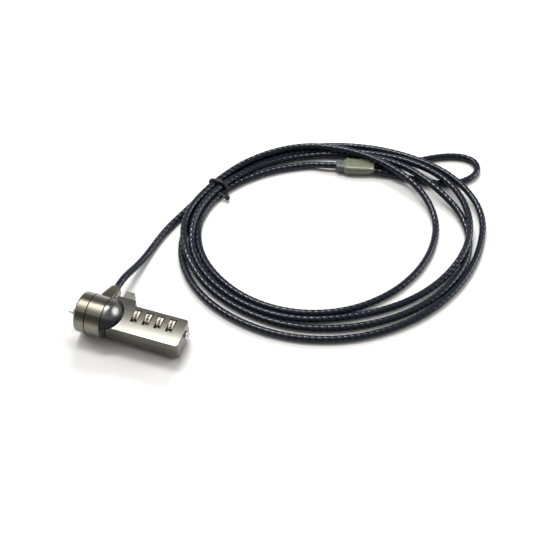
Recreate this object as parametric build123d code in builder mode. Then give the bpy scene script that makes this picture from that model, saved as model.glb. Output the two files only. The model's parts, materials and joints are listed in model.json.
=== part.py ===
from build123d import *
import math
import os

os.makedirs("parts", exist_ok=True)

# A laptop cable lock lying on its flat underside.  Millimetres, +Z up.
# +X runs from the locking nose to the tail, the near side is -Y and the
# push button and the cable lug point to the far side, +Y.
# The origin is the middle of the body's flat underside.

# Driving dimensions
barrel_r = 11.0
barrel_z = barrel_r
body_front = -20.72
body_back = 21.0
near_y = -8.0
far_y = 9.0
top_z = 15.2
split_z = 9.3
wall = 1.0
far_wall = 0.7
floor_t = 1.2
front_wall = 1.5
flange_t = 0.2
flange_taper = 1.2
flange_drop = 2.5
cover_t = 0.8
underside_fillet = 4.5
tail_block_x = 15.7
corner_r = 1.6

boss_x = (-20.0, -10.0)
boss_y = 12.2
boss_low_z = 7.5
cover_screw_places = ((-12.4, -3.6), (9.9, -3.6))
web_t = 1.2

collar_len = 8.07
washer_t = 0.55
washer_inset = 0.6
nose_len = 6.13
neck_r = 8.0
neck_bore_r = 5.0
running_gap = 0.06
end_gap = 0.02

dial_count = 4
dial_pitch = 6.5
first_dial_x = -6.4
dial_y = 4.8
dial_z = 11.8
wheel_flat = 3.23
wheel_w = 2.9
wheel_turn = 30
code_hub_r = 1.9
code_flange_r = 2.5
code_flange_w = 1.2
code_flat = 2.0
axle_r = 1.0
window = (3.7, 8.1)
window_y = 3.1
window_aside = 0.35
reset_y = 3.1
reset_z = 9.9

shaft_r = 1.4
pinion_r = 2.0
pinion_teeth = 10
rack_pitch = 2 * math.pi * pinion_r / pinion_teeth
tooth_add = 0.4
tooth_ded = 0.5
rack_x = (-17.3, -14.7)

cable_d = 4.0
cable_r = cable_d / 2

# Derived places
washer_rear_x = body_front - end_gap - washer_t
collar_back = washer_rear_x - end_gap
collar_front = collar_back - collar_len
washer_front_x = collar_front - end_gap - washer_t
nose_back = washer_front_x - end_gap
nose_front = nose_back - nose_len
neck_front = nose_back - 2.5
inner_top_z = top_z - cover_t
inner_y = (near_y + wall, far_y - far_wall)
dial_xs = [first_dial_x + i * dial_pitch for i in range(dial_count)]
button_x = (-17.8, -12.9)
button_z = (9.6, 14.0)
button_end_y = 17.4


def keep(block, name):
    block.part.label = name
    export_step(block.part, f"parts/{name}.step")


def rod(x0, x1, radius, y=0.0, z=barrel_z, hole=0.0, mode=Mode.ADD):
    """A round bar or tube along X between two planes."""
    with BuildSketch(Plane.YZ.offset(x0)) as section:
        with Locations((y, z)):
            Circle(radius)
            if hole > 0:
                Circle(hole, mode=Mode.SUBTRACT)
    extrude(section.sketch, amount=x1 - x0, mode=mode)


def block(x, y, z, mode=Mode.ADD):
    """A plain block between pairs of coordinates."""
    middle = ((x[0] + x[1]) / 2, (y[0] + y[1]) / 2, (z[0] + z[1]) / 2)
    with Locations(middle):
        Box(x[1] - x[0], y[1] - y[0], z[1] - z[0], mode=mode)


def body_outline(inset=0.0, start=body_front, end=body_back, with_boss=True):
    """Plan view of the upper body: a bar with a boss round the push button."""
    x0 = start + inset
    x1 = end - inset
    y0 = near_y + inset
    y1 = far_y - inset
    outline = [(x0, y0), (x1, y0), (x1, y1)]
    if with_boss:
        outline += [(boss_x[1] + 1.2 - inset, y1), (boss_x[1] - inset, boss_y - inset)]
        outline += [(boss_x[0] + inset, boss_y - inset), (x0, y1 + 0.6)]
    else:
        outline += [(x0, y1)]
    with BuildLine() as edge:
        Polyline(*outline, close=True)
    make_face(edge.edges())


def front_flange(mode=Mode.ADD):
    """Round flange that backs the rear washer and tapers into the body's sides."""
    rod(body_front, body_front + flange_t, barrel_r, mode=mode)
    with Locations((body_front + flange_t + flange_taper / 2, 0, barrel_z)):
        Cone(barrel_r, barrel_r - flange_drop, flange_taper, rotation=(0, 90, 0), mode=mode)


# Upper housing: sides, front wall, boss round the button and the solid tail block
with BuildPart() as main_housing:
    with BuildSketch(Plane.XY.offset(split_z)):
        body_outline()
    extrude(amount=inner_top_z - split_z)
    block((tail_block_x, body_back), (near_y, far_y), (0, split_z))
    block((boss_x[0], boss_x[1]), (far_y, boss_y), (boss_low_z, split_z))
    tail_edges = main_housing.edges().filter_by(Axis.Z).group_by(Axis.X)[-1]
    fillet(tail_edges, corner_r)
    low_edges = main_housing.edges().filter_by(Axis.X).group_by(Axis.Z)[0]
    fillet(low_edges, underside_fillet)
    front_flange()
    flange_x = (body_front, body_front + flange_t + flange_taper)
    block(flange_x, (-barrel_r, barrel_r), (inner_top_z, 2 * barrel_r), mode=Mode.SUBTRACT)
    # the hollow that holds the mechanism, open above and below
    block((body_front + front_wall, tail_block_x), inner_y, (split_z, inner_top_z), mode=Mode.SUBTRACT)
    block((boss_x[0] + 1, boss_x[1] - 1), (far_y - 2 * wall, boss_y - wall), (split_z, inner_top_z),
          mode=Mode.SUBTRACT)
    # slot for the push button
    block((button_x[0] - 0.1, button_x[1] + 0.1), (boss_y - 2, boss_y + 1),
          (button_z[0] - 0.1, button_z[1] + 0.1), mode=Mode.SUBTRACT)
    # rib that carries the front end of the dial axle
    block((-11.0, -9.9), inner_y, (split_z, inner_top_z))
    # posts that take the cover screws, each joined to the near wall by a web
    for x, y in cover_screw_places:
        block((x - web_t / 2, x + web_t / 2), (near_y + wall / 2, y), (split_z, inner_top_z))
    with Locations(*[(x, y, split_z) for x, y in cover_screw_places]):
        Cylinder(1.5, inner_top_z - split_z, align=(Align.CENTER, Align.CENTER, Align.MIN))
        Cylinder(0.7, 3.6, align=(Align.CENTER, Align.CENTER, Align.MIN), mode=Mode.SUBTRACT)
    # barrel spigot, hub screws, dial axle and reset screw holes
    rod(body_front - 1, body_front + front_wall + 0.01, 3.25, mode=Mode.SUBTRACT)
    for side in (-5.4, 5.4):
        rod(body_front - 1, body_front + front_wall + 0.01, 0.65, y=side, z=11.5, mode=Mode.SUBTRACT)
    rod(body_front - 1, body_front + front_wall + 0.01, 0.65, z=5.5, mode=Mode.SUBTRACT)
    rod(-12, 17, axle_r + 0.02, y=dial_y, z=dial_z, mode=Mode.SUBTRACT)
    rod(16, body_back + 1, axle_r + 0.05, y=reset_y, z=reset_z, mode=Mode.SUBTRACT)
keep(main_housing, "main_housing")

# Lower cover: a trough that closes the mechanism from below
with BuildPart() as bottom_cover:
    block((body_front, tail_block_x), (near_y, far_y), (0, split_z))
    low_edges = bottom_cover.edges().filter_by(Axis.X).group_by(Axis.Z)[0]
    fillet(low_edges, underside_fillet)
    front_flange(mode=Mode.SUBTRACT)
    with BuildSketch(Plane.YZ.offset(body_front + front_wall)):
        with Locations((sum(inner_y) / 2, (floor_t + split_z + 6) / 2)):
            RectangleRounded(inner_y[1] - inner_y[0], split_z - floor_t + 6, underside_fillet - wall)
    extrude(amount=tail_block_x - body_front - front_wall, mode=Mode.SUBTRACT)
    with Locations(*[(x, y, floor_t - 0.4) for x, y in cover_screw_places]):
        Cylinder(1.5, split_z - floor_t + 0.4, align=(Align.CENTER, Align.CENTER, Align.MIN))
    with Locations(*[(x, y, 0) for x, y in cover_screw_places]):
        Cylinder(0.85, split_z, align=(Align.CENTER, Align.CENTER, Align.MIN), mode=Mode.SUBTRACT)
        Cylinder(1.2, 2.4, align=(Align.CENTER, Align.CENTER, Align.MIN), mode=Mode.SUBTRACT)
    rod(body_front - 1, body_front + front_wall + 0.01, 3.25, mode=Mode.SUBTRACT)
    rod(body_front - 1, body_front + front_wall + 0.01, 0.65, z=5.5, mode=Mode.SUBTRACT)
keep(bottom_cover, "bottom_cover")

# Top cover: the brushed plate with a window over each dial
with BuildPart() as top_cover:
    with BuildSketch(Plane.XY.offset(inner_top_z)):
        body_outline()
        with Locations(*[(x + window_aside, window_y) for x in dial_xs]):
            Rectangle(window[0], window[1], mode=Mode.SUBTRACT)
    extrude(amount=cover_t)
    tail_edges = top_cover.edges().filter_by(Axis.Z).group_by(Axis.X)[-1]
    fillet(tail_edges, corner_r)
    long_edges = top_cover.edges().filter_by(Axis.X).group_by(Axis.Z)[-1].sort_by(Axis.Y)
    fillet(long_edges[0], 0.3)
keep(top_cover, "top_cover")

# Dome: the rounded end of the barrel that runs out on the top cover
dome_len = 9.0
dome_wall = 1.2
with BuildPart() as dome_cap:
    with BuildSketch(Plane.XY.offset(barrel_z)):
        with Locations((body_front, 0)):
            Ellipse(dome_len, barrel_r)
            Ellipse(dome_len - dome_wall, barrel_r - dome_wall, mode=Mode.SUBTRACT)
        with Locations((body_front + dome_len, -barrel_r)):
            Rectangle(2 * dome_len, 2 * barrel_r, mode=Mode.INTERSECT)
    revolve(axis=Axis((body_front, 0, barrel_z), (1, 0, 0)), revolution_arc=360)
    keep_above = (body_front, body_front + dome_len + 1)
    block(keep_above, (-barrel_r - 1, barrel_r + 1), (top_z, 3 * barrel_r), mode=Mode.INTERSECT)
keep(dome_cap, "dome_cap")

# Barrel hub: the neck that the cable collar turns on
with BuildPart() as barrel_hub:
    rod(neck_front, body_front, neck_r)
    rod(body_front, body_front + 1.6, 3.2)
    rod(neck_front, body_front - 1.5, neck_bore_r, mode=Mode.SUBTRACT)
    rod(neck_front, body_front + 2, shaft_r + 0.1, mode=Mode.SUBTRACT)
    for side in (-5.4, 5.4):
        rod(body_front - 1.2, body_front, 0.6, y=side, z=11.5, mode=Mode.SUBTRACT)
    rod(body_front - 1.2, body_front, 0.6, z=5.5, mode=Mode.SUBTRACT)
    chamfer(barrel_hub.edges().filter_by(GeomType.CIRCLE).group_by(Axis.X)[0].sort_by(SortBy.RADIUS)[-1], 0.4)
keep(barrel_hub, "barrel_hub")

with BuildPart() as hub_screws:
    for side, height in ((-5.4, 11.5), (5.4, 11.5), (0, 5.5)):
        rod(body_front - 1.1, body_front + front_wall, 0.58, y=side, z=height)
        rod(body_front + front_wall, body_front + front_wall + 0.8, 1.2, y=side, z=height)
keep(hub_screws, "hub_screws")

# Nose cap: front ring of the barrel, with the locking bar in its middle
with BuildPart() as nose_cap:
    rod(nose_front, nose_back, barrel_r)
    front_edge = nose_cap.edges().filter_by(GeomType.CIRCLE).group_by(Axis.X)[0]
    fillet(front_edge, 1.4)
    rod(neck_front - 0.02, nose_back, neck_r + 0.02, mode=Mode.SUBTRACT)
    rod(nose_front, nose_back, shaft_r + 0.1, mode=Mode.SUBTRACT)
    for height in (barrel_z - 2.5, barrel_z + 2.5):
        rod(nose_front, nose_front + 2, 0.6, z=height, mode=Mode.SUBTRACT)
keep(nose_cap, "nose_cap")

with BuildPart() as guide_pins:
    for height in (barrel_z - 2.5, barrel_z + 2.5):
        rod(nose_front - 2.2, nose_front + 2, 0.6, z=height)
    tips = guide_pins.edges().filter_by(GeomType.CIRCLE).group_by(Axis.X)[0]
    fillet(tips, 0.2)
keep(guide_pins, "guide_pins")

# Thin wear washers that show as the dark lines between the rings
with BuildPart() as front_washer:
    rod(washer_front_x, washer_front_x + washer_t, barrel_r - washer_inset, hole=neck_r + 0.02)
keep(front_washer, "front_washer")

with BuildPart() as rear_washer:
    rod(washer_rear_x, washer_rear_x + washer_t, barrel_r - washer_inset, hole=neck_r + 0.02)
keep(rear_washer, "rear_washer")

# Bush and torsion spring of the locking spindle, inside the neck
with BuildPart() as spindle_bush:
    rod(neck_front, neck_front + 2.6, neck_bore_r - 0.02, hole=shaft_r + 0.05)
keep(spindle_bush, "spindle_bush")

spring_turns = 6
spring_pitch = 0.7
with BuildPart() as return_spring:
    with BuildLine() as spring_line:
        Helix(spring_pitch, spring_turns * spring_pitch, 2.3, center=(-28, 0, barrel_z), direction=(1, 0, 0))
    with BuildSketch(Plane(origin=spring_line.line @ 0, z_dir=spring_line.line % 0)):
        Circle(0.25)
    sweep(path=spring_line.line, is_frenet=True)
keep(return_spring, "return_spring")

# Locking spindle: T-shaped head that turns behind the security slot
head_x = (nose_front - 6.1, nose_front - 3.9)
with BuildPart() as t_bar_spindle:
    rod(head_x[0], -13.4, shaft_r)
    block(head_x, (-3.2, 3.2), (barrel_z - 1.4, barrel_z + 1.4))
    head_edges = t_bar_spindle.edges().filter_by(Axis.X).sort_by(Axis.X)[0:4]
    fillet(head_edges, 0.9)
    fillet(t_bar_spindle.faces().sort_by(Axis.X)[0].edges(), 0.45)
keep(t_bar_spindle, "t_bar_spindle")


with BuildPart() as drive_pinion:
    with BuildSketch(Plane.YZ.offset(rack_x[0])):
        with Locations((0, barrel_z)):
            Circle(pinion_r - tooth_ded)
            with PolarLocations(pinion_r - 0.1, pinion_teeth):
                Rectangle(2 * tooth_add + 0.2, 0.42)
            Circle(shaft_r, mode=Mode.SUBTRACT)
    extrude(amount=rack_x[1] - rack_x[0])
keep(drive_pinion, "drive_pinion")

with BuildPart() as spindle_clip:
    rod(-14.4, -14.0, 2.6, hole=shaft_r)
    block((-14.5, -13.9), (-0.9, 0.9), (barrel_z - 3, barrel_z), mode=Mode.SUBTRACT)
keep(spindle_clip, "spindle_clip")

# Push button with its guide flange and the rack that turns the spindle
rack_root_z = barrel_z + pinion_r + tooth_ded
with BuildPart() as push_button:
    block(button_x, (10.9, button_end_y), button_z)
    fillet(push_button.faces().sort_by(Axis.Y)[-1].edges(), 0.6)
    block((-18.6, -12.1), (9.9, 11.1), button_z)
    block(rack_x, (-2.2, 10.0), (rack_root_z, inner_top_z - 0.2))
    with BuildSketch(Plane.YZ.offset(rack_x[0])):
        for i in range(-1, 5):
            with Locations((i * rack_pitch, rack_root_z - tooth_add)):
                Rectangle(0.42, 2 * tooth_add + 0.2)
    extrude(amount=rack_x[1] - rack_x[0])
keep(push_button, "push_button")

# Locking bar: it moves in with the button, one tooth below each code ring
bar_z = (2.9, 3.7)
bar_tooth_top = dial_z - code_flange_r - 0.2
with BuildPart() as locking_bar:
    block((-14.0, dial_xs[-1] - 1.4), (4.6, 7.2), bar_z)
    block((-14.0, -12.6), (6.2, 7.2), (bar_z[0], 10.7))
    block((-14.0, -12.6), (6.2, 9.9), (9.7, 10.7))
    for x in dial_xs:
        block((x - 2.8, x - 1.8), (6.45, 7.2), (bar_z[0], bar_tooth_top))
keep(locking_bar, "locking_bar")

# Dials: a ten-sided number wheel on a code ring, all on one axle
for number, x in enumerate(dial_xs, start=1):
    with BuildPart() as number_wheel:
        with BuildSketch(Plane.YZ.offset(x - wheel_w / 2)):
            with Locations((dial_y, dial_z)):
                RegularPolygon(wheel_flat, 10, major_radius=False, rotation=wheel_turn)
        extrude(amount=wheel_w)
        chamfer(number_wheel.faces().filter_by(Axis.X).edges(), 0.2)
        with BuildSketch(Plane.YZ.offset(x - wheel_w / 2)):
            with Locations((dial_y, dial_z)):
                Circle(code_hub_r + 0.02)
                with PolarLocations(wheel_flat + 0.38, 10, start_angle=wheel_turn):
                    Circle(0.38)
        extrude(amount=wheel_w, mode=Mode.SUBTRACT)
    keep(number_wheel, f"number_wheel_{number}")
    with BuildPart() as code_ring:
        rod(x - wheel_w / 2, x + wheel_w / 2, code_hub_r, y=dial_y, z=dial_z)
        rod(x - 2.9, x - 2.9 + code_flange_w, code_flange_r, y=dial_y, z=dial_z)
        rod(x - 2.9 + code_flange_w, x - wheel_w / 2, code_hub_r, y=dial_y, z=dial_z)
        block((x - 3, x - 2.9 + code_flange_w), (dial_y - 6, dial_y + 6), (dial_z - 6, dial_z - code_flat),
              mode=Mode.SUBTRACT)
        rod(x - 3, x + wheel_w, axle_r + 0.03, y=dial_y, z=dial_z, mode=Mode.SUBTRACT)
    keep(code_ring, f"code_ring_{number}")

with BuildPart() as dial_axle:
    rod(-10.9, 16.4, axle_r, y=dial_y, z=dial_z)
keep(dial_axle, "dial_axle")

with BuildPart() as dial_spacers:
    for x in dial_xs:
        end = min(x + dial_pitch - 3.0, tail_block_x - 0.1)
        rod(x + wheel_w / 2 + 0.1, end, 1.6, y=dial_y, z=dial_z, hole=axle_r + 0.02)
keep(dial_spacers, "dial_spacers")

# Detent spring: a leaf with one finger beside each wheel
with BuildPart() as detent_spring:
    block((-9.0, 15.0), (-1.8, 1.0), (floor_t + 0.02, floor_t + 0.27))
    for x in dial_xs:
        block((x - 1.2, x + 1.2), (0.7, 1.0), (floor_t + 0.02, dial_z + 1))
keep(detent_spring, "detent_spring")

# Reset screw: set the code again with a quarter turn
with BuildPart() as reset_screw:
    rod(16.6, body_back + 0.1, axle_r, y=reset_y, z=reset_z)
    rod(body_back + 0.05, body_back + 0.95, 2.2, y=reset_y, z=reset_z)
    fillet(reset_screw.edges().filter_by(GeomType.CIRCLE).group_by(Axis.X)[-1], 0.25)
    slot_x = (body_back + 0.45, body_back + 1.5)
    block(slot_x, (reset_y - 1.6, reset_y + 1.6), (reset_z - 0.3, reset_z + 0.3), mode=Mode.SUBTRACT)
    block(slot_x, (reset_y - 0.3, reset_y + 0.3), (reset_z - 1.6, reset_z + 1.6), mode=Mode.SUBTRACT)
keep(reset_screw, "reset_screw")

with BuildPart() as cover_screws:
    with Locations(*[(x, y, 1.2) for x, y in cover_screw_places]):
        Cylinder(1.15, 1.2, align=(Align.CENTER, Align.CENTER, Align.MIN))
        Cylinder(0.65, split_z + 2, align=(Align.CENTER, Align.CENTER, Align.MIN))
keep(cover_screws, "cover_screws")

# Cable collar: the middle ring, with the lug that holds the cable's end
lug_tip = (-24.8, 18.6, barrel_z)
bore_start = (lug_tip[0], lug_tip[1] - 5.6, barrel_z)
lug_mid_x = (collar_front + collar_back) / 2
with BuildPart() as swivel_collar:
    with BuildSketch(Plane(origin=(lug_mid_x, 8.7, barrel_z + 0.4), x_dir=(1, 0, 0), z_dir=(0, 1, 0))):
        RectangleRounded(7.6, 11.6, 1.5)
    with BuildSketch(Plane(origin=(lug_mid_x + 0.3, 12.0, barrel_z + 0.3), x_dir=(1, 0, 0), z_dir=(0, 1, 0))):
        RectangleRounded(7.4, 10.2, 2.0)
    with BuildSketch(Plane(origin=lug_tip, x_dir=(1, 0, 0), z_dir=(0, 1, 0))):
        RectangleRounded(5.8, 6.2, 2.2)
    loft()
    fillet(swivel_collar.faces().sort_by(Axis.Y)[-1].edges(), 0.6)
    rod(collar_front, collar_back, barrel_r)
    rod(collar_front - 1, collar_back + 1, neck_r + running_gap, mode=Mode.SUBTRACT)
    with BuildSketch(Plane(origin=bore_start, x_dir=(1, 0, 0), z_dir=(0, 1, 0))):
        Circle(cable_r + 0.35)
    extrude(amount=7, mode=Mode.SUBTRACT)
keep(swivel_collar, "swivel_collar")

with BuildPart() as cable_crimp:
    with BuildSketch(Plane(origin=bore_start, x_dir=(1, 0, 0), z_dir=(0, 1, 0))):
        Circle(cable_r + 0.33)
        Circle(cable_r, mode=Mode.SUBTRACT)
    extrude(amount=5.6)
keep(cable_crimp, "cable_crimp")

# The cable's route.  The lead drops from the lug to the floor and runs to the coil.
lead_points = [
    (-24.8, 18.6, 11.0), (-24.5, 25.0, 10.7), (-23.9, 32.0, 8.6), (-23.1, 39.5, 5.6),
    (-22.2, 48.0, 3.2), (-21.3, 57.0, 2.0), (-20.0, 66.5, 2.0), (-17.7, 76.5, 2.0),
    (-14.2, 86.5, 2.0),
]
# The eye: out of the ferrule, round its tip and back
eye_points = [
    (83.3, 157.6, 3.2), (91.0, 160.6, 2.6), (99.5, 165.6, 2.0), (109.5, 172.6, 2.0),
    (120.0, 179.3, 2.0), (131.5, 183.6, 2.0), (141.0, 182.8, 2.0), (145.5, 175.2, 2.0),
    (142.0, 166.6, 2.0), (134.5, 160.0, 2.0), (124.0, 156.4, 2.0), (112.0, 155.4, 2.0),
    (98.5, 155.4, 2.3), (84.2, 153.6, 3.2),
]


def bend_radii(points):
    """As large an arc at each corner as its two runs allow."""
    radii = []
    for before, here, after in zip(points, points[1:], points[2:]):
        run_in = Vector(*here) - Vector(*before)
        run_out = Vector(*after) - Vector(*here)
        half_turn = math.radians(run_in.get_angle(run_out)) / 2
        shorter = min(run_in.length, run_out.length)
        radii.append(0.45 * shorter / math.tan(half_turn))
    return radii


def cable_tube(points, name):
    radii = bend_radii(points)
    with BuildPart() as tube:
        with BuildLine() as route:
            FilletPolyline(*points, radius=radii)
        with BuildSketch(Plane(origin=route.line @ 0, z_dir=route.line % 0)):
            Circle(cable_r)
        sweep(path=route.line)
    length = sum(edge.length for edge in route.edges())
    ratio = tube.part.volume / (math.pi * cable_r**2 * length)
    print(name, "radii", [round(r, 1) for r in radii])
    print(name, "length", round(length, 1), "volume ratio", round(ratio, 4))
    keep(tube, name)


cable_tube(lead_points, "cable_lead")
cable_tube(eye_points, "cable_eye")

# The tied coil: four turns round a tilted ellipse that fan out on the side away from the tie
coil_centre = (70.4, 97.5)
coil_axes = (79.6, 63.7)
coil_tilt = math.radians(27.0)
coil_start = 135.0
coil_steps = 16
coil_outer = [7.6, 10.2, 11.4, 10.2, 9.0, 11.8, 13.8, 10.8, 10.0, 11.6, 12.2, 11.0, 8.8, 7.8, 7.4, 8.6]
coil_inner = [-5.6, -8.4, -10.0, -7.0, -11.4, -14.4, -16.0, -18.4, -18.2, -16.0, -12.6, -11.0, -11.4,
              -11.0, -8.6, -5.6]
coil_height = 8.0
mean_axis = sum(coil_axes) / 2


def coil_place(angle, offset):
    """Plan position at an angle of the ellipse, moved outwards by an offset."""
    grow = 1 + offset / mean_axis
    along = coil_axes[0] * math.cos(math.radians(angle)) * grow
    across = coil_axes[1] * math.sin(math.radians(angle)) * grow
    x = coil_centre[0] + along * math.cos(coil_tilt) - across * math.sin(coil_tilt)
    y = coil_centre[1] + along * math.sin(coil_tilt) + across * math.cos(coil_tilt)
    return (x, y)


def coil_outline(offsets):
    step = 360 / coil_steps
    return [coil_place(coil_start - step * i, offset) for i, offset in enumerate(offsets)]


with BuildPart() as cable_coil:
    with BuildSketch():
        with BuildLine():
            Spline(*coil_outline(coil_outer), periodic=True)
        make_face()
        with BuildLine():
            Spline(*coil_outline(coil_inner), periodic=True)
        make_face(mode=Mode.SUBTRACT)
    extrude(amount=coil_height)
keep(cable_coil, "cable_coil")

# Twisted wire tie round the bundle where the lead joins it
tie_wire_r = 0.6
tie_inner = Vector(*coil_place(coil_start, -7.4), 0)
tie_outer = Vector(*coil_place(coil_start, 8.6), 0)
tie_across = (tie_outer - tie_inner).normalized()
tie_height = 9.4
tie_plane = Plane(origin=(tie_inner + tie_outer) / 2 + Vector(0, 0, tie_height / 2),
                  x_dir=tie_across, z_dir=tie_across.cross(Vector(0, 0, 1)))
tie_width = (tie_outer - tie_inner).length - 2 * tie_wire_r
tail_start = tie_inner + tie_across * tie_wire_r + Vector(0, 0, 4.2)
tail_end = tie_inner - tie_across * 4.6 + Vector(0, 0, 2.4)
with BuildPart() as twist_tie:
    with BuildLine(tie_plane) as tie_line:
        corner = 3.2
        half = tie_width / 2
        rise = tie_height / 2 - tie_wire_r
        FilletPolyline((half, rise), (-half, rise), (-half, -rise), (half, -rise), radius=corner, close=True)
    with BuildSketch(Plane(origin=tie_line.line @ 0, z_dir=tie_line.line % 0)):
        Circle(tie_wire_r)
    sweep(path=tie_line.line)
    with BuildLine() as tail_line:
        Line(tail_start, tail_end)
    with BuildSketch(Plane(origin=tail_line.line @ 0, z_dir=tail_line.line % 0)):
        Circle(2 * tie_wire_r)
    sweep(path=tail_line.line)
keep(twist_tie, "twist_tie")

# Swaged ferrule that closes the eye, under a ribbed plastic sleeve
ferrule_start = (61.3, 151.0)
ferrule_turn = 12.8
ferrule_z = 3.3
ferrule_dir = Vector(math.cos(math.radians(ferrule_turn)), math.sin(math.radians(ferrule_turn)), 0)


def across_ferrule(distance):
    """Plane square to the ferrule at a distance from its cable end."""
    origin = Vector(*ferrule_start, ferrule_z) + ferrule_dir * distance
    return Plane(origin=origin, x_dir=ferrule_dir.cross(Vector(0, 0, 1)), z_dir=ferrule_dir)


crimp_size = (8.0, 5.4)
crimp_len = 18.0
sleeve_x = (4.6, 23.0)
with BuildPart() as eye_ferrule:
    with BuildSketch(across_ferrule(0)):
        RectangleRounded(crimp_size[0], crimp_size[1], 2.6)
    extrude(amount=crimp_len)
    fillet(eye_ferrule.faces().sort_by(Axis.X)[0].edges(), 0.8)
keep(eye_ferrule, "eye_ferrule")

with BuildPart() as ferrule_sleeve:
    with BuildSketch(across_ferrule(sleeve_x[0])):
        RectangleRounded(10.4, 6.0, 2.9)
    with BuildSketch(across_ferrule(sleeve_x[0] + 2.0)):
        RectangleRounded(11.2, 6.4, 3.1)
    with BuildSketch(across_ferrule(sleeve_x[0] + 9.0)):
        RectangleRounded(10.6, 6.2, 3.0)
    with BuildSketch(across_ferrule(sleeve_x[1])):
        RectangleRounded(8.8, 5.2, 2.5)
    loft()
    with BuildSketch(across_ferrule(sleeve_x[0] - 1)):
        RectangleRounded(crimp_size[0], crimp_size[1], 2.6)
    extrude(amount=crimp_len - sleeve_x[0] + 1, mode=Mode.SUBTRACT)
keep(ferrule_sleeve, "ferrule_sleeve")
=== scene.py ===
"""Looks of the laptop cable lock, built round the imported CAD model, in its frame: metres, +Z up.

The lock lies on its flat underside with its nose towards -X.  The cable leaves the collar's lug on
the far side, +Y, runs to a tied coil of four turns and ends in a crimped eye.
"""
import json
import math

import bmesh
import bpy
from mathutils import Matrix, Vector


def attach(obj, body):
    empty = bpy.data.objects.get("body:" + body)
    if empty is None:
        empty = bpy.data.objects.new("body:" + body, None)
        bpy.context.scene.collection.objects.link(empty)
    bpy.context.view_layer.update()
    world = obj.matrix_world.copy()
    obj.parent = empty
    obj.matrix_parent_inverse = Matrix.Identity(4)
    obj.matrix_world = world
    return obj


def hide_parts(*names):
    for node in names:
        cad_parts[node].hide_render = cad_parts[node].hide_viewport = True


MM = 0.001
UP = Vector((0, 0, 1))

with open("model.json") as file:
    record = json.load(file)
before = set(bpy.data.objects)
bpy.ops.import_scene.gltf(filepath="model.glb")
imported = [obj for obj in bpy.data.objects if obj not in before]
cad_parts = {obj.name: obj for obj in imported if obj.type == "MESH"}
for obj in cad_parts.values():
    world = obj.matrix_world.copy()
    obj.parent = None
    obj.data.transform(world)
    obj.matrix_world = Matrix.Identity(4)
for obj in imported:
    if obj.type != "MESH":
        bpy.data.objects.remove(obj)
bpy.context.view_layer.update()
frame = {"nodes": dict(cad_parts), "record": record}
nodes = frame["nodes"]

# ---------------------------------------------------------------- camera

view_target = Vector((50.67, 61.55, 0.0)) * MM
view_distance = 474.9 * MM
view_azimuth = math.radians(17.8)
view_elevation = math.radians(52.7)
view_lens = 55.64


def add_camera():
    towards = Vector((math.cos(view_elevation) * math.sin(view_azimuth),
                      -math.cos(view_elevation) * math.cos(view_azimuth),
                      math.sin(view_elevation)))
    data = bpy.data.cameras.new("camera")
    data.lens = view_lens
    data.sensor_width = 36
    data.clip_start = 0.01
    camera = bpy.data.objects.new("camera", data)
    camera.location = view_target + towards * view_distance
    camera.rotation_euler = (-towards).to_track_quat("-Z", "Y").to_euler()
    bpy.context.scene.collection.objects.link(camera)
    bpy.context.scene.camera = camera


add_camera()

# ---------------------------------------------------------------- the cable's route

cable_d = 4.0
cable_r = cable_d / 2
lead_points = [
    (-24.8, 18.6, 11.0), (-24.5, 25.0, 10.7), (-23.9, 32.0, 8.6), (-23.1, 39.5, 5.6),
    (-22.2, 48.0, 3.2), (-21.3, 57.0, 2.0), (-20.0, 66.5, 2.0), (-17.7, 76.5, 2.0),
    (-14.2, 86.5, 2.0), (-10.9, 96.6, 2.0), (-8.2, 106.2, 2.0),
]
eye_points = [
    (83.3, 157.6, 3.2), (91.0, 160.6, 2.6), (99.5, 165.6, 2.0), (109.5, 172.6, 2.0),
    (120.0, 179.3, 2.0), (131.5, 183.6, 2.0), (141.0, 182.8, 2.0), (145.5, 175.2, 2.0),
    (142.0, 166.6, 2.0), (134.5, 160.0, 2.0), (124.0, 156.4, 2.0), (112.0, 155.4, 2.0),
    (98.5, 155.4, 2.3), (84.2, 153.6, 3.2),
]

# The coil follows a tilted ellipse, clockwise from the tie.  Each turn has its own distances
# outside that ellipse and its own heights, where it climbs over the turns already laid.
coil_centre = Vector((70.4, 97.5))
coil_axes = (79.6, 63.7)
coil_tilt = math.radians(27.0)
coil_start = 135.0
coil_steps = 16
coil_turns = [
    ([4.9, 7.8, 8.8, 7.6, 6.3, 9.3, 11.6, 8.0, 7.6, 9.0, 9.6, 8.5, 6.3, 5.1, 4.0, 1.7],
     [2, 2, 2, 3.5, 6, 6.4, 3.5, 2, 2, 2, 2, 2, 2, 2, 2, 2]),
    ([0.9, 3.5, 4.3, 3.2, 2.2, 4.7, 3.4, 1.8, -2.0, -4.4, -6.0, -4.4, -4.8, -4.3, -1.9, -0.7],
     [2, 2, 2, 2.5, 6.4, 6.4, 6.6, 5.6, 2, 2, 2, 2, 2, 2, 2.8, 5.4]),
    ([-1.1, -0.7, 0.1, -0.8, -3.4, -4.6, 0.8, 3.6, 3.6, 2.9, 1.8, 1.0, -0.7, -0.3, 1.6, 3.9],
     [5.6, 3.2, 2, 3.4, 7.2, 6.2, 3, 2, 2, 2, 2, 2, 2, 2.6, 5.8, 5.8]),
    ([2.9, 5.8, 6.6, -2.5, -9.5, -12, -13.5, -15.9, -15.8, -13.6, -10.6, -8.9, -8.8, -8.4, -5.9, -3.0],
     [5.6, 5.7, 5.9, 7.6, 7.6, 5.4, 2, 2, 2, 2, 2, 2, 2, 2, 2, 2]),
    ([-3.1, -6.0, -9.0], [2, 2, 2]),
]

ferrule_start = Vector((61.3, 151.0, 3.3))
ferrule_turn = math.radians(12.8)
ferrule_dir = Vector((math.cos(ferrule_turn), math.sin(ferrule_turn), 0))
ferrule_side = Vector((-ferrule_dir.y, ferrule_dir.x, 0))
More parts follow.
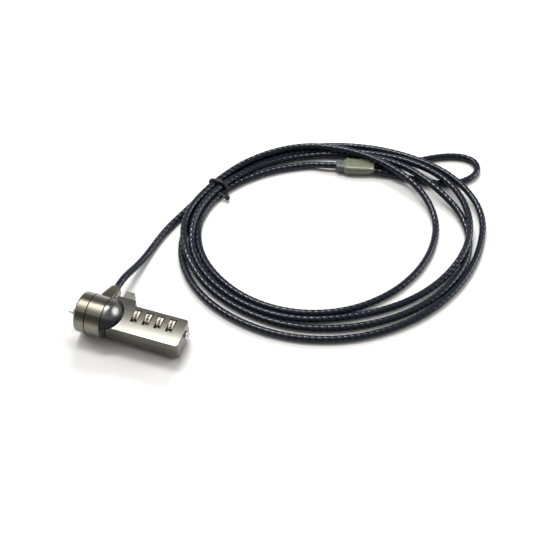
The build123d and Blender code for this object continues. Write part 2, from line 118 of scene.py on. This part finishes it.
# how far the cable is along the ferrule, and aside of its middle, on its way in from the coil
ferrule_way_in = [(-8, 0), (1, 0.1), (10, 0.8), (18, 1.9)]
ferrule_way_back = (15, -2.0)


def coil_place(angle, offset, height):
    """A place outside the coil's ellipse.  The spline cuts its corners, so its points stand further out."""
    step = 2 * math.pi / coil_steps
    corner_cut = (3 + math.cos(step)) / 4
    grow = (1 + 2 * offset / sum(coil_axes)) / corner_cut
    along = coil_axes[0] * math.cos(math.radians(angle)) * grow
    across = coil_axes[1] * math.sin(math.radians(angle)) * grow
    x = coil_centre.x + along * math.cos(coil_tilt) - across * math.sin(coil_tilt)
    y = coil_centre.y + along * math.sin(coil_tilt) + across * math.cos(coil_tilt)
    return (x, y, height)


def along_ferrule(distance, aside=0.0):
    return ferrule_start + ferrule_dir * distance + ferrule_side * aside


def cable_route():
    """The lead, the turns of the coil, through the ferrule, round the eye and back into the ferrule."""
    points = list(lead_points)
    for offsets, heights in coil_turns:
        for i, (offset, height) in enumerate(zip(offsets, heights)):
            points.append(coil_place(coil_start - 360 / coil_steps * i, offset, height))
    points += [along_ferrule(*place) for place in ferrule_way_in]
    points += eye_points
    points.append(along_ferrule(*ferrule_way_back))
    return [Vector(p) * MM for p in points]


def smooth_line(points):
    """The places along the quadratic spline that has these control points."""
    curve = bpy.data.curves.new("route", "CURVE")
    curve.dimensions = "3D"
    curve.resolution_u = 24
    spline = curve.splines.new("NURBS")
    spline.points.add(len(points) - 1)
    for target, point in zip(spline.points, points):
        target.co = (*point, 1)
    spline.order_u = 3
    spline.use_endpoint_u = True
    holder = bpy.data.objects.new("route", curve)
    bpy.context.scene.collection.objects.link(holder)
    bpy.context.view_layer.update()
    mesh = bpy.data.meshes.new_from_object(holder)
    line = [v.co.copy() for v in mesh.vertices]
    bpy.data.objects.remove(holder)
    bpy.data.meshes.remove(mesh)
    return line


def even_line(line, step):
    """The same line with its places about a step apart, and its length."""
    spans = [(b - a).length for a, b in zip(line, line[1:])]
    length = sum(spans)
    count = max(2, round(length / step))
    places = [line[0].copy()]
    travelled = 0.0
    span = 0
    for i in range(1, count):
        wanted = length * i / count
        while travelled + spans[span] < wanted:
            travelled += spans[span]
            span += 1
        places.append(line[span].lerp(line[span + 1], (wanted - travelled) / spans[span]))
    places.append(line[-1].copy())
    return places, length


# ---------------------------------------------------------------- mesh helpers


def make_piece(name, mesh, body, smooth=True):
    """A piece that moves with a body."""
    piece = bpy.data.objects.new(name, mesh)
    bpy.context.scene.collection.objects.link(piece)
    for polygon in mesh.polygons:
        polygon.use_smooth = smooth
    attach(piece, body)
    return piece


def tube_mesh(name, line, outline, closed=False):
    """A tube along a line.  outline(distance) gives the section's places as (side, up) pairs."""
    count = len(line)
    rings = []
    travelled = 0.0
    for i, place in enumerate(line):
        before = line[(i - 1) % count] if closed or i > 0 else place
        after = line[(i + 1) % count] if closed or i < count - 1 else place
        along = (after - before).normalized()
        side = along.cross(UP).normalized()
        lift = side.cross(along)
        if i > 0:
            travelled += (place - line[i - 1]).length
        rings.append([place + side * s + lift * u for s, u in outline(travelled)])
    size = len(rings[0])
    verts = [v for ring in rings for v in ring]
    faces = []
    for i in range(count if closed else count - 1):
        a = i * size
        b = (i + 1) % count * size
        for j in range(size):
            k = (j + 1) % size
            faces.append((a + j, a + k, b + k, b + j))
    if not closed:
        faces.append(tuple(range(size))[::-1])
        faces.append(tuple(range((count - 1) * size, count * size)))
    mesh = bpy.data.meshes.new(name)
    mesh.from_pydata([tuple(v) for v in verts], [], faces)
    tidy_normals(mesh)
    return mesh


def tidy_normals(mesh):
    """Turn every face outwards."""
    work = bmesh.new()
    work.from_mesh(mesh)
    bmesh.ops.recalc_face_normals(work, faces=work.faces)
    work.to_mesh(mesh)
    work.free()


def round_section(radius, count):
    turns = [2 * math.pi * j / count for j in range(count)]
    return [(radius * math.cos(t), radius * math.sin(t)) for t in turns]


def flat_round(width, height, count=40, power=3.2):
    """A rounded, flattened section."""
    places = []
    for j in range(count):
        turn = 2 * math.pi * j / count
        c = math.cos(turn)
        s = math.sin(turn)
        places.append((width / 2 * math.copysign(abs(c) ** (2 / power), c),
                       height / 2 * math.copysign(abs(s) ** (2 / power), s)))
    return places


def add_wire(work, places, radius, closed, count=12):
    """A round wire through places, added to a bmesh."""
    rings = []
    total = len(places)
    lift = None
    for i, place in enumerate(places):
        before = places[(i - 1) % total] if closed or i > 0 else place
        after = places[(i + 1) % total] if closed or i < total - 1 else place
        along = (after - before).normalized()
        if lift is None:
            lift = along.orthogonal().normalized()
        lift = (lift - along * lift.dot(along)).normalized()
        side = along.cross(lift)
        rings.append([work.verts.new(place + side * s + lift * u) for s, u in round_section(radius, count)])
    for i in range(total if closed else total - 1):
        ring = rings[i]
        following = rings[(i + 1) % total]
        shift = 0
        if closed and i == total - 1:
            shift = min(range(count), key=lambda k: (ring[0].co - following[k].co).length)
        for j in range(count):
            k = (j + 1) % count
            work.faces.new((ring[j], ring[k], following[(k + shift) % count], following[(j + shift) % count]))
    if not closed:
        work.faces.new(rings[0][::-1])
        work.faces.new(rings[-1])


# ---------------------------------------------------------------- materials


class Nodes:
    """Short ways to add nodes to a material or the world."""

    def __init__(self, tree):
        self.tree = tree

    def set(self, node, socket, value):
        node.inputs[socket].default_value = value

    def add(self, kind, **values):
        node = self.tree.nodes.new(kind)
        for key, value in values.items():
            setattr(node, key, value)
        return node

    def link(self, source, node, socket):
        self.tree.links.new(source, node.inputs[socket])

    def math(self, operation, a, b=0.0):
        node = self.add("ShaderNodeMath", operation=operation)
        for i, value in enumerate((a, b)):
            if isinstance(value, (int, float)):
                node.inputs[i].default_value = value
            else:
                self.tree.links.new(value, node.inputs[i])
        return node.outputs["Value"]

    def rise(self, value, start, end):
        """Zero at the start, one at the end, smoothly."""
        node = self.add("ShaderNodeMapRange", interpolation_type="SMOOTHSTEP")
        self.link(value, node, "Value")
        self.set(node, "From Min", start)
        self.set(node, "From Max", end)
        return node.outputs["Result"]


class Finish(Nodes):
    """A material with its principled shader."""

    def __init__(self, name, color, roughness, metallic=0.0, **sockets):
        self.material = bpy.data.materials.new(name)
        self.material.use_nodes = True
        super().__init__(self.material.node_tree)
        self.shader = self.tree.nodes["Principled BSDF"]
        self.set(self.shader, "Base Color", (*color, 1))
        self.set(self.shader, "Roughness", roughness)
        self.set(self.shader, "Metallic", metallic)
        for socket, value in sockets.items():
            self.set(self.shader, socket.replace("_", " "), value)
        self.place = self.add("ShaderNodeTexCoord").outputs["Object"]

    def noise(self, stretch, detail=3.0):
        """Noise with so many grains to the metre along each axis."""
        mapping = self.add("ShaderNodeMapping")
        self.link(self.place, mapping, "Vector")
        self.set(mapping, "Scale", stretch)
        noise = self.add("ShaderNodeTexNoise")
        self.link(mapping.outputs["Vector"], noise, "Vector")
        self.set(noise, "Scale", 1.0)
        self.set(noise, "Detail", detail)
        self.set(noise, "Roughness", 0.55)
        return noise.outputs["Fac"]

    def axis(self, letter):
        split = self.add("ShaderNodeSeparateXYZ")
        self.link(self.place, split, "Vector")
        return split.outputs[letter]

    def band(self, letter, middle, half):
        """One within half of the middle along an axis, and zero elsewhere."""
        away = self.math("ABSOLUTE", self.math("SUBTRACT", self.axis(letter), middle))
        return self.math("LESS_THAN", away, half)

    def ramp(self, value, low, high):
        """Roughness between two values, by the usual span of a noise."""
        node = self.add("ShaderNodeMapRange")
        self.link(value, node, "Value")
        self.set(node, "From Min", 0.3)
        self.set(node, "From Max", 0.7)
        self.set(node, "To Min", low)
        self.set(node, "To Max", high)
        self.link(node.outputs["Result"], self.shader, "Roughness")

    def tint(self, value, dark, light):
        """Base colour between two colours, by a value from 0 to 1."""
        node = self.add("ShaderNodeMix", data_type="RGBA")
        self.link(value, node, "Factor")
        node.inputs["A"].default_value = (*dark, 1)
        node.inputs["B"].default_value = (*light, 1)
        self.link(node.outputs["Result"], self.shader, "Base Color")
        return node.outputs["Result"]

    def bump(self, height, distance, strength=1.0, under=None):
        """Bump by a height times a distance, over the normal of the bump under it."""
        node = self.add("ShaderNodeBump")
        self.set(node, "Strength", strength)
        self.set(node, "Distance", distance)
        self.link(height, node, "Height")
        if under is not None:
            self.link(under, node, "Normal")
        self.link(node.outputs["Normal"], self.shader, "Normal")
        return node.outputs["Normal"]


case_dark = (0.175, 0.165, 0.135)
case_light = (0.225, 0.212, 0.178)
shell_dark = (0.115, 0.112, 0.096)
shell_light = (0.150, 0.147, 0.127)
seam_color = (0.012, 0.011, 0.010)
split_height = 9.3 * MM
cover_height = 14.4 * MM
seam_half = 0.12 * MM
crown_radius = 80 * MM
crown_line = -3.0 * MM
# painted shade on the dome: its colour is near black at its foot and lightens up to the second height
dome_foot = 15.0 * MM
dome_painted_shade_top = 20.5 * MM


def satin_nickel(name, dark, light):
    """Satin nickel plating with a fine blasted grain, and its colour."""
    finish = Finish(name, case_light, 0.18, 1.0)
    cloud = finish.noise((180, 180, 180), detail=4)
    grain = finish.noise((9000, 9000, 9000), detail=2)
    finish.ramp(cloud, 0.15, 0.21)
    color = finish.tint(cloud, dark, light)
    finish.bump(grain, 0.0015 * MM, 0.5)
    return finish, color


def satin_case():
    """The barrel's rings and the small fittings."""
    finish, color = satin_nickel("satin_case", case_dark, case_light)
    return finish.material


def seamed_case():
    """Darker nickel on the shells, with the dark seams where they meet along the sides."""
    finish, color = satin_nickel("seamed_case", shell_dark, shell_light)
    seam = finish.math("MAXIMUM", finish.band("Z", split_height, seam_half),
                       finish.band("Z", cover_height, seam_half))
    seamed = finish.add("ShaderNodeMix", data_type="RGBA")
    finish.link(seam, seamed, "Factor")
    finish.link(color, seamed, "A")
    seamed.inputs["B"].default_value = (*seam_color, 1)
    finish.link(seamed.outputs["Result"], finish.shader, "Base Color")
    return finish.material


def brushed_cover():
    """A plate brushed along the lock, whose shading is very slightly crowned across it."""
    finish = Finish("brushed_cover", (0.26, 0.25, 0.22), 0.24, 1.0)
    brush = finish.noise((260, 14000, 3000), detail=3)
    cloud = finish.noise((90, 300, 300), detail=3)
    finish.ramp(brush, 0.19, 0.29)
    finish.tint(cloud, (0.175, 0.168, 0.149), (0.215, 0.208, 0.186))
    across = finish.math("SUBTRACT", finish.axis("Y"), crown_line)
    drop = finish.math("DIVIDE", finish.math("MULTIPLY", across, across), -2 * crown_radius)
    crown = finish.bump(drop, 1.0)
    finish.bump(brush, 0.0016 * MM, 0.6, under=crown)
    return finish.material


def polished_dome():
    """Black chrome, its colour painted darker towards the dome's foot: painted shade."""
    finish = Finish("polished_dome", (0.14, 0.14, 0.145), 0.25, 1.0)
    cloud = finish.noise((300, 300, 300), detail=3)
    finish.ramp(cloud, 0.22, 0.28)
    # painted shade: the colour goes from near black at the dome's foot to plain black chrome higher up
    height = finish.rise(finish.axis("Z"), dome_foot, dome_painted_shade_top)
    finish.tint(height, (0.008, 0.010, 0.014), (0.145, 0.145, 0.148))
    return finish.material


def chrome_bar():
    """Bright plating on the T-bar and the pins, a little worn."""
    finish = Finish("chrome_bar", (0.66, 0.66, 0.67), 0.12, 1.0)
    wear = finish.noise((900, 900, 900), detail=4)
    finish.ramp(wear, 0.08, 0.22)
    finish.tint(wear, (0.58, 0.58, 0.59), (0.74, 0.74, 0.75))
    return finish.material


def inner_steel():
    """Plain steel inside the lock."""
    finish = Finish("inner_steel", (0.20, 0.20, 0.20), 0.4, 1.0)
    wear = finish.noise((700, 700, 700), detail=4)
    finish.ramp(wear, 0.32, 0.5)
    finish.tint(wear, (0.12, 0.12, 0.12), (0.26, 0.26, 0.26))
    return finish.material


def black_washer():
    """Matt black plastic."""
    finish = Finish("black_washer", (0.012, 0.012, 0.012), 0.5)
    wear = finish.noise((1500, 1500, 1500))
    finish.ramp(wear, 0.4, 0.6)
    return finish.material


def number_wheel():
    """Moulded cream plastic, a little uneven in colour and gloss."""
    finish = Finish("number_wheel", (0.52, 0.50, 0.40), 0.35, Coat_Weight=0.3)
    cloud = finish.noise((600, 600, 600), detail=4)
    finish.ramp(cloud, 0.28, 0.42)
    finish.tint(cloud, (0.46, 0.44, 0.35), (0.58, 0.56, 0.45))
    return finish.material


def numeral_ink():
    """Flat black print."""
    finish = Finish("numeral_ink", (0.006, 0.006, 0.006), 0.6, Specular_IOR_Level=0.1)
    wear = finish.noise((3000, 3000, 3000))
    finish.tint(wear, (0.003, 0.003, 0.003), (0.012, 0.012, 0.011))
    return finish.material


def cable_jacket():
    """Black strands under a clear jacket: glossy, a little blue."""
    finish = Finish("cable_jacket", (0.004, 0.006, 0.011), 0.12, Specular_IOR_Level=0.25)
    cloud = finish.noise((500, 500, 500), detail=4)
    scuff = finish.noise((2600, 2600, 2600), detail=2)
    finish.ramp(cloud, 0.08, 0.15)
    finish.tint(cloud, (0.002, 0.003, 0.007), (0.006, 0.009, 0.016))
    finish.bump(scuff, 0.01 * MM, 0.4)
    return finish.material


def ferrule_metal():
    """Dull dark metal, swaged over the cable."""
    finish = Finish("ferrule_metal", (0.045, 0.052, 0.056), 0.45, 0.2)
    cloud = finish.noise((500, 500, 500), detail=4)
    finish.ramp(cloud, 0.3, 0.5)
    finish.tint(cloud, (0.030, 0.036, 0.039), (0.062, 0.070, 0.075))
    return finish.material


def sleeve_plastic():
    """Milky shrunk plastic with a slight green cast."""
    finish = Finish("sleeve_plastic", (0.08, 0.086, 0.055), 0.35, Coat_Weight=0.25,
                    Subsurface_Weight=0.35, Subsurface_Scale=0.003)
    cloud = finish.noise((260, 260, 260), detail=3)
    finish.ramp(cloud, 0.28, 0.42)
    finish.tint(cloud, (0.058, 0.063, 0.039), (0.105, 0.112, 0.072))
    return finish.material


def tie_plastic():
    """The twist tie's black plastic."""
    finish = Finish("tie_plastic", (0.006, 0.006, 0.007), 0.35, Specular_IOR_Level=0.3)
    cloud = finish.noise((900, 900, 900))
    finish.ramp(cloud, 0.28, 0.45)
    return finish.material


finishes = {make.__name__: make() for make in (
    satin_case, seamed_case, brushed_cover, polished_dome, chrome_bar, inner_steel, black_washer,
    number_wheel, numeral_ink, cable_jacket, ferrule_metal, sleeve_plastic, tie_plastic)}


def paint(obj, finish):
    obj.data.materials.clear()
    obj.data.materials.append(finishes[finish])


def paint_cad_nodes():
    """Each CAD node takes the finish of its slot, and the three shells the one with the seams."""
    for part in frame["record"]["subparts"]:
        slot = part["material_slot"]
        paint(nodes[part["node"]], slot)
    for name in ("main_housing", "bottom_cover", "push_button"):
        paint(nodes[name], "seamed_case")


paint_cad_nodes()

# ---------------------------------------------------------------- the cable

strand_count = 6
strand_lay = 21.0 * MM
strand_groove = 0.24 * MM
strand_roundness = 0.6
strand_columns = 5
cable_step = 1.0 * MM


def strand_section(distance):
    """The cable's section: strands under a thin jacket, turned with the lay."""
    places = []
    count = strand_count * strand_columns
    for j in range(count):
        turn = 2 * math.pi * j / count
        crown = abs(math.cos(strand_count * turn / 2))
        radius = cable_r * MM - strand_groove * (1 - crown ** strand_roundness)
        turned = turn - 2 * math.pi * distance / strand_lay
        places.append((radius * math.cos(turned), radius * math.sin(turned)))
    return places


def build_cable():
    line, length = even_line(smooth_line(cable_route()), cable_step)
    cable = make_piece("cable", tube_mesh("cable", line, strand_section), "cable_collar")
    paint(cable, "cable_jacket")
    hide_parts("cable_lead", "cable_coil", "cable_eye")
    return cable, line, length


cable, cable_line, cable_length = build_cable()

# ---------------------------------------------------------------- ferrule and its sleeve

# how far along the ferrule, and the width and height there
ferrule_stations = [(0.0, 5.4, 4.6), (0.7, 7.4, 5.2), (1.6, 8.0, 5.4), (3.6, 7.8, 5.2), (8.0, 7.8, 5.2)]
ferrule_step = 0.2
sleeve_stations = [(4.6, 6.8, 4.6), (5.3, 9.4, 5.6), (6.6, 11.0, 6.4), (13.6, 10.6, 6.2), (23.0, 8.8, 5.2)]
sleeve_step = 0.1
sleeve_ribs_start = 7.0
sleeve_rib_pitch = 0.8
sleeve_rib_depth = 0.14


def blend_sizes(stations, distance):
    """Width and height between the nearest stations."""
    for (x0, w0, h0), (x1, w1, h1) in zip(stations, stations[1:]):
        if distance <= x1:
            t = (distance - x0) / (x1 - x0)
            t = t * t * (3 - 2 * t)
            return w0 + (w1 - w0) * t, h0 + (h1 - h0) * t
    return stations[-1][1], stations[-1][2]


def ferrule_mesh(name, stations, step, groove):
    """A tube along the ferrule through its stations.  groove(distance) thins it there."""
    start = stations[0][0]
    count = round((stations[-1][0] - start) / step)
    line = [along_ferrule(start + step * i) * MM for i in range(count + 1)]

    def section(travelled):
        distance = start + travelled / MM
        width, height = blend_sizes(stations, distance)
        less = groove(distance)
        return [(s * MM, u * MM) for s, u in flat_round(width - less, height - less)]

    return tube_mesh(name, line, section)


def sleeve_rib(distance):
    if distance <= sleeve_ribs_start:
        return 0.0
    return sleeve_rib_depth * (0.5 - 0.5 * math.cos(2 * math.pi * distance / sleeve_rib_pitch))


def build_sleeve():
    mesh = ferrule_mesh("ribbed_sleeve", sleeve_stations, sleeve_step, sleeve_rib)
    sleeve = make_piece("ribbed_sleeve", mesh, "cable_collar")
    paint(sleeve, "sleeve_plastic")
    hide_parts("ferrule_sleeve")
    return sleeve


def build_ferrule():
    mesh = ferrule_mesh("swaged_ferrule", ferrule_stations, ferrule_step, lambda distance: 0.0)
    ferrule = make_piece("swaged_ferrule", mesh, "cable_collar")
    paint(ferrule, "ferrule_metal")
    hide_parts("eye_ferrule")
    return ferrule


sleeve = build_sleeve()
ferrule = build_ferrule()

# ---------------------------------------------------------------- twist tie

tie_wire_r = 1.0
tie_width = 12.8
tie_height = 9.2
tie_roundness = 2.6
tie_lean = 1.1
# the ring's ends, outside the coil's ellipse
tie_span = (-6.8, 6.2)
# the ring's ends leave it at this height, twisted together, and end in a small ball of wire
twist_height = 3.2
twist_half_turns = 3
twist_swing = 0.5
twist_wire_r = 0.42
ball_place = Vector((6.4, 106.4, 2.3))
ball_reach = 1.15
ball_width = 2.0
ball_half_turns = 5.5
ball_wire_r = 0.62
loose_reach = (-4.6, -0.3, -1.2)
loose_wire_r = 0.36


def tie_frame():
    inner, outer = (Vector(coil_place(coil_start, offset, 0)) * MM for offset in tie_span)
    return (inner + outer) / 2, (outer - inner).normalized()


def twist_wire(start, end, along, phase, steps=24):
    """One of two wires that wind round each other from start to end."""
    places = []
    for i in range(steps + 1):
        t = i / steps
        turn = phase + twist_half_turns * math.pi * t
        swing = along * math.cos(turn) + UP * math.sin(turn)
        places.append(start.lerp(end, t) + swing * twist_swing * MM)
    return places


def ball_wire(middle, steps=90):
    """A wire wound into a small ball."""
    places = []
    for i in range(steps + 1):
        t = i / steps
        turn = ball_half_turns * math.pi * t
        reach = ball_reach * math.sin(math.pi * (0.12 + 0.76 * t)) * MM
        aside = ball_width * (t - 0.5) * MM
        places.append(middle + Vector((math.cos(turn) * reach, aside, math.sin(turn) * reach)))
    return places


def build_tie():
    """A plastic-covered wire round the bundle, its ends twisted and curled into a knot beside it."""
    middle, across = tie_frame()
    along = UP.cross(across)
    ring = []
    for s, u in flat_round(tie_width - 2 * tie_wire_r, tie_height - 2 * tie_wire_r, 72, tie_roundness):
        lean = tie_lean * s / tie_width
        ring.append(middle + across * s * MM + UP * (u + tie_height / 2) * MM + along * lean * MM)
    start = middle - across * (tie_width / 2 - tie_wire_r) * MM + UP * twist_height * MM
    ball = ball_place * MM
    work = bmesh.new()
    add_wire(work, ring, tie_wire_r * MM, closed=True)
    for phase in (0.0, math.pi):
        add_wire(work, twist_wire(start, ball, along, phase), twist_wire_r * MM, closed=False)
    add_wire(work, ball_wire(ball), ball_wire_r * MM, closed=False)
    x, y, z = loose_reach
    loose_end = [ball + Vector((x * t, y * t, z * t ** 2)) * MM for t in (0.0, 0.25, 0.5, 0.75, 1.0)]
    add_wire(work, loose_end, loose_wire_r * MM, closed=False)
    mesh = bpy.data.meshes.new("wire_tie")
    work.to_mesh(mesh)
    work.free()
    tidy_normals(mesh)
    tie = make_piece("wire_tie", mesh, "cable_collar")
    paint(tie, "tie_plastic")
    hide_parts("twist_tie")
    return tie


tie = build_tie()

# ---------------------------------------------------------------- dials

dial_first_x = -6.4
dial_pitch = 6.5
dial_centre = (4.8, 11.8)
# from the wheels' middle to their facets, and the angle of the facets from the far side upwards
wheel_flat = 3.23
facet_count = 10
first_facet = 48
numeral_height = 1.9
numeral_widening = 1.2
numeral_boldness = 0.034
numeral_half_thickness = 0.012
# the numerals' middle stands this far outside the facet
numeral_lift = 0.02
# the numeral on the upper facet of each window, as the dials stand at rest
upper_numerals = (2, 8, 2, 2)
upper_facet = 1


def numeral_mesh(digit):
    """A numeral in the plane, centred and one unit high, with a little thickness."""
    text = bpy.data.curves.new("numeral", "FONT")
    text.body = str(digit)
    text.size = 1.0
    text.align_x = "CENTER"
    text.align_y = "CENTER"
    text.extrude = numeral_half_thickness
    text.offset = numeral_boldness
    text.resolution_u = 3
    holder = bpy.data.objects.new("numeral", text)
    bpy.context.scene.collection.objects.link(holder)
    bpy.context.view_layer.update()
    mesh = bpy.data.meshes.new_from_object(holder)
    bpy.data.objects.remove(holder)
    xs = [v.co.x for v in mesh.vertices]
    ys = [v.co.y for v in mesh.vertices]
    high = max(ys) - min(ys)
    centre = Matrix.Translation((-(max(xs) + min(xs)) / 2, -(max(ys) + min(ys)) / 2, 0))
    widen = Matrix.Diagonal((numeral_widening, 1.0, 1.0, 1.0))
    mesh.transform(widen @ Matrix.Scale(1 / high, 4) @ centre)
    return mesh


def build_numerals():
    """The ten numerals of each wheel, as one piece that turns with it."""
    shapes = [numeral_mesh(digit) for digit in range(facet_count)]
    for number, first in enumerate(upper_numerals, start=1):
        x = dial_first_x + dial_pitch * (number - 1)
        work = bmesh.new()
        for k in range(facet_count):
            angle = math.radians(first_facet + 360 * k / facet_count)
            out = Vector((0, math.cos(angle), math.sin(angle)))
            rise = Vector((0, math.sin(angle), -math.cos(angle)))
            right = rise.cross(out)
            place = Vector((x, *dial_centre)) + out * (wheel_flat + numeral_lift)
            turned = Matrix((right, rise, out)).transposed().to_4x4()
            shape = shapes[(first + k - upper_facet) % facet_count].copy()
            shape.transform(Matrix.Translation(place * MM) @ turned @ Matrix.Scale(numeral_height * MM, 4))
            work.from_mesh(shape)
            bpy.data.meshes.remove(shape)
        mesh = bpy.data.meshes.new(f"numerals_{number}")
        work.to_mesh(mesh)
        work.free()
        numerals = make_piece(f"numerals_{number}", mesh, f"dial_{number}", smooth=False)
        paint(numerals, "numeral_ink")
    for shape in shapes:
        bpy.data.meshes.remove(shape)


build_numerals()

# ---------------------------------------------------------------- stage and light


floor_half = 3.0
floor_place = (0.05, 0.06, -0.02 * MM)
floor_color = (0.50, 0.50, 0.50)


def add_floor():
    mesh = bpy.data.meshes.new("floor")
    corners = [(-1, -1), (1, -1), (1, 1), (-1, 1)]
    mesh.from_pydata([(x * floor_half, y * floor_half, 0) for x, y in corners], [], [(0, 1, 2, 3)])
    floor = bpy.data.objects.new("floor", mesh)
    floor.location = floor_place
    bpy.context.scene.collection.objects.link(floor)
    finish = Finish("floor_white", floor_color, 0.7)
    mesh.materials.append(finish.material)


def add_softbox(name, place, size, power, reflected=True):
    """A softbox.  One that isn't reflected lights the scene without showing in the metal."""
    data = bpy.data.lights.new(name, "AREA")
    data.shape = "RECTANGLE"
    data.size = size[0]
    data.size_y = size[1]
    data.energy = power
    light = bpy.data.objects.new(name, data)
    light.location = place
    light.rotation_euler = (lights_aim - Vector(place)).to_track_quat("-Z", "Y").to_euler()
    light.visible_glossy = reflected
    bpy.context.scene.collection.objects.link(light)


# degrees from overhead towards the far side, and how bright the studio and its softbox are there
studio_levels = [(-90, 0.62), (-78, 0.42), (-70, 0.20), (-37, 0.16), (-34, 0.95), (-30, 0.95), (-27, 0.50),
                 (-10, 0.50), (10, 0.45), (34, 0.32), (58, 0.32), (75, 0.60), (90, 0.90)]
softbox_levels = [(-90, 0.0), (-26, 0.0), (-6, 0.30), (2, 0.85), (12, 1.0), (20, 1.0), (25, 0.78), (30, 0.40),
                  (36, 0.08), (42, 0.03), (48, 0.0), (90, 0.0)]
softbox_strength = 4.4
# where the overhead softbox fades in and out, by the direction's X
softbox_nose_edge = (-0.86, -0.70)
softbox_tail_edge = (0.12, -0.06)
side_light_towards = (0.753, 0.469, 0.462)
side_light_strength = 6.5
# where the side light fades in, by the cosine of the angle to its middle
side_light_edge = (0.90, 0.985)
studio_tint = (1.0, 0.985, 0.955)
lights_aim = Vector((0.05, 0.08, 0))


def level_ramp(work, share, levels):
    """Brightness by the share of the half circle from the near side to the far side."""
    ramp = work.add("ShaderNodeValToRGB")
    work.link(share, ramp, "Fac")
    elements = ramp.color_ramp.elements
    while len(elements) > 1:
        elements.remove(elements[-1])
    for i, (degrees, level) in enumerate(levels):
        where = (degrees + 90) / 180
        element = elements[0] if i == 0 else elements.new(where)
        element.position = where
        element.color = (level, level, level, 1)
    return ramp.outputs["Color"]


def add_world():
    """A dim studio with a broad softbox overhead, a thin bright strip in front and a lamp at the side."""
    world = bpy.data.worlds.new("studio")
    world.use_nodes = True
    work = Nodes(world.node_tree)
    background = world.node_tree.nodes["Background"]
    direction = work.add("ShaderNodeTexCoord").outputs["Generated"]
    split = work.add("ShaderNodeSeparateXYZ")
    work.link(direction, split, "Vector")
    angle = work.math("ARCTAN2", split.outputs["Y"], split.outputs["Z"])
    share = work.math("ADD", work.math("DIVIDE", angle, math.pi), 0.5)
    studio = level_ramp(work, share, studio_levels)
    softbox = level_ramp(work, share, softbox_levels)
    across = work.math("MULTIPLY", work.rise(split.outputs["X"], *softbox_nose_edge),
                       work.rise(split.outputs["X"], *softbox_tail_edge))
    softbox = work.math("MULTIPLY", work.math("MULTIPLY", softbox, across), softbox_strength)
    facing = work.add("ShaderNodeVectorMath", operation="DOT_PRODUCT")
    work.link(direction, facing, 0)
    work.set(facing, 1, Vector(side_light_towards).normalized())
    side = work.math("MULTIPLY", work.rise(facing.outputs["Value"], *side_light_edge), side_light_strength)
    total = work.math("ADD", work.math("ADD", studio, softbox), side)
    tinted = work.add("ShaderNodeMix", data_type="RGBA", blend_type="MULTIPLY")
    work.set(tinted, "Factor", 1.0)
    work.link(total, tinted, "A")
    tinted.inputs["B"].default_value = (*studio_tint, 1)
    work.link(tinted.outputs["Result"], background, "Color")
    bpy.context.scene.world = world


add_floor()
add_world()
add_softbox("key_light", (-0.14, 0.36, 0.95), (0.36, 0.08), 6.0)
add_softbox("far_light", (-0.08, 0.74, 0.60), (0.45, 0.20), 10.0, reflected=False)
bpy.context.scene.view_settings.view_transform = "Standard"
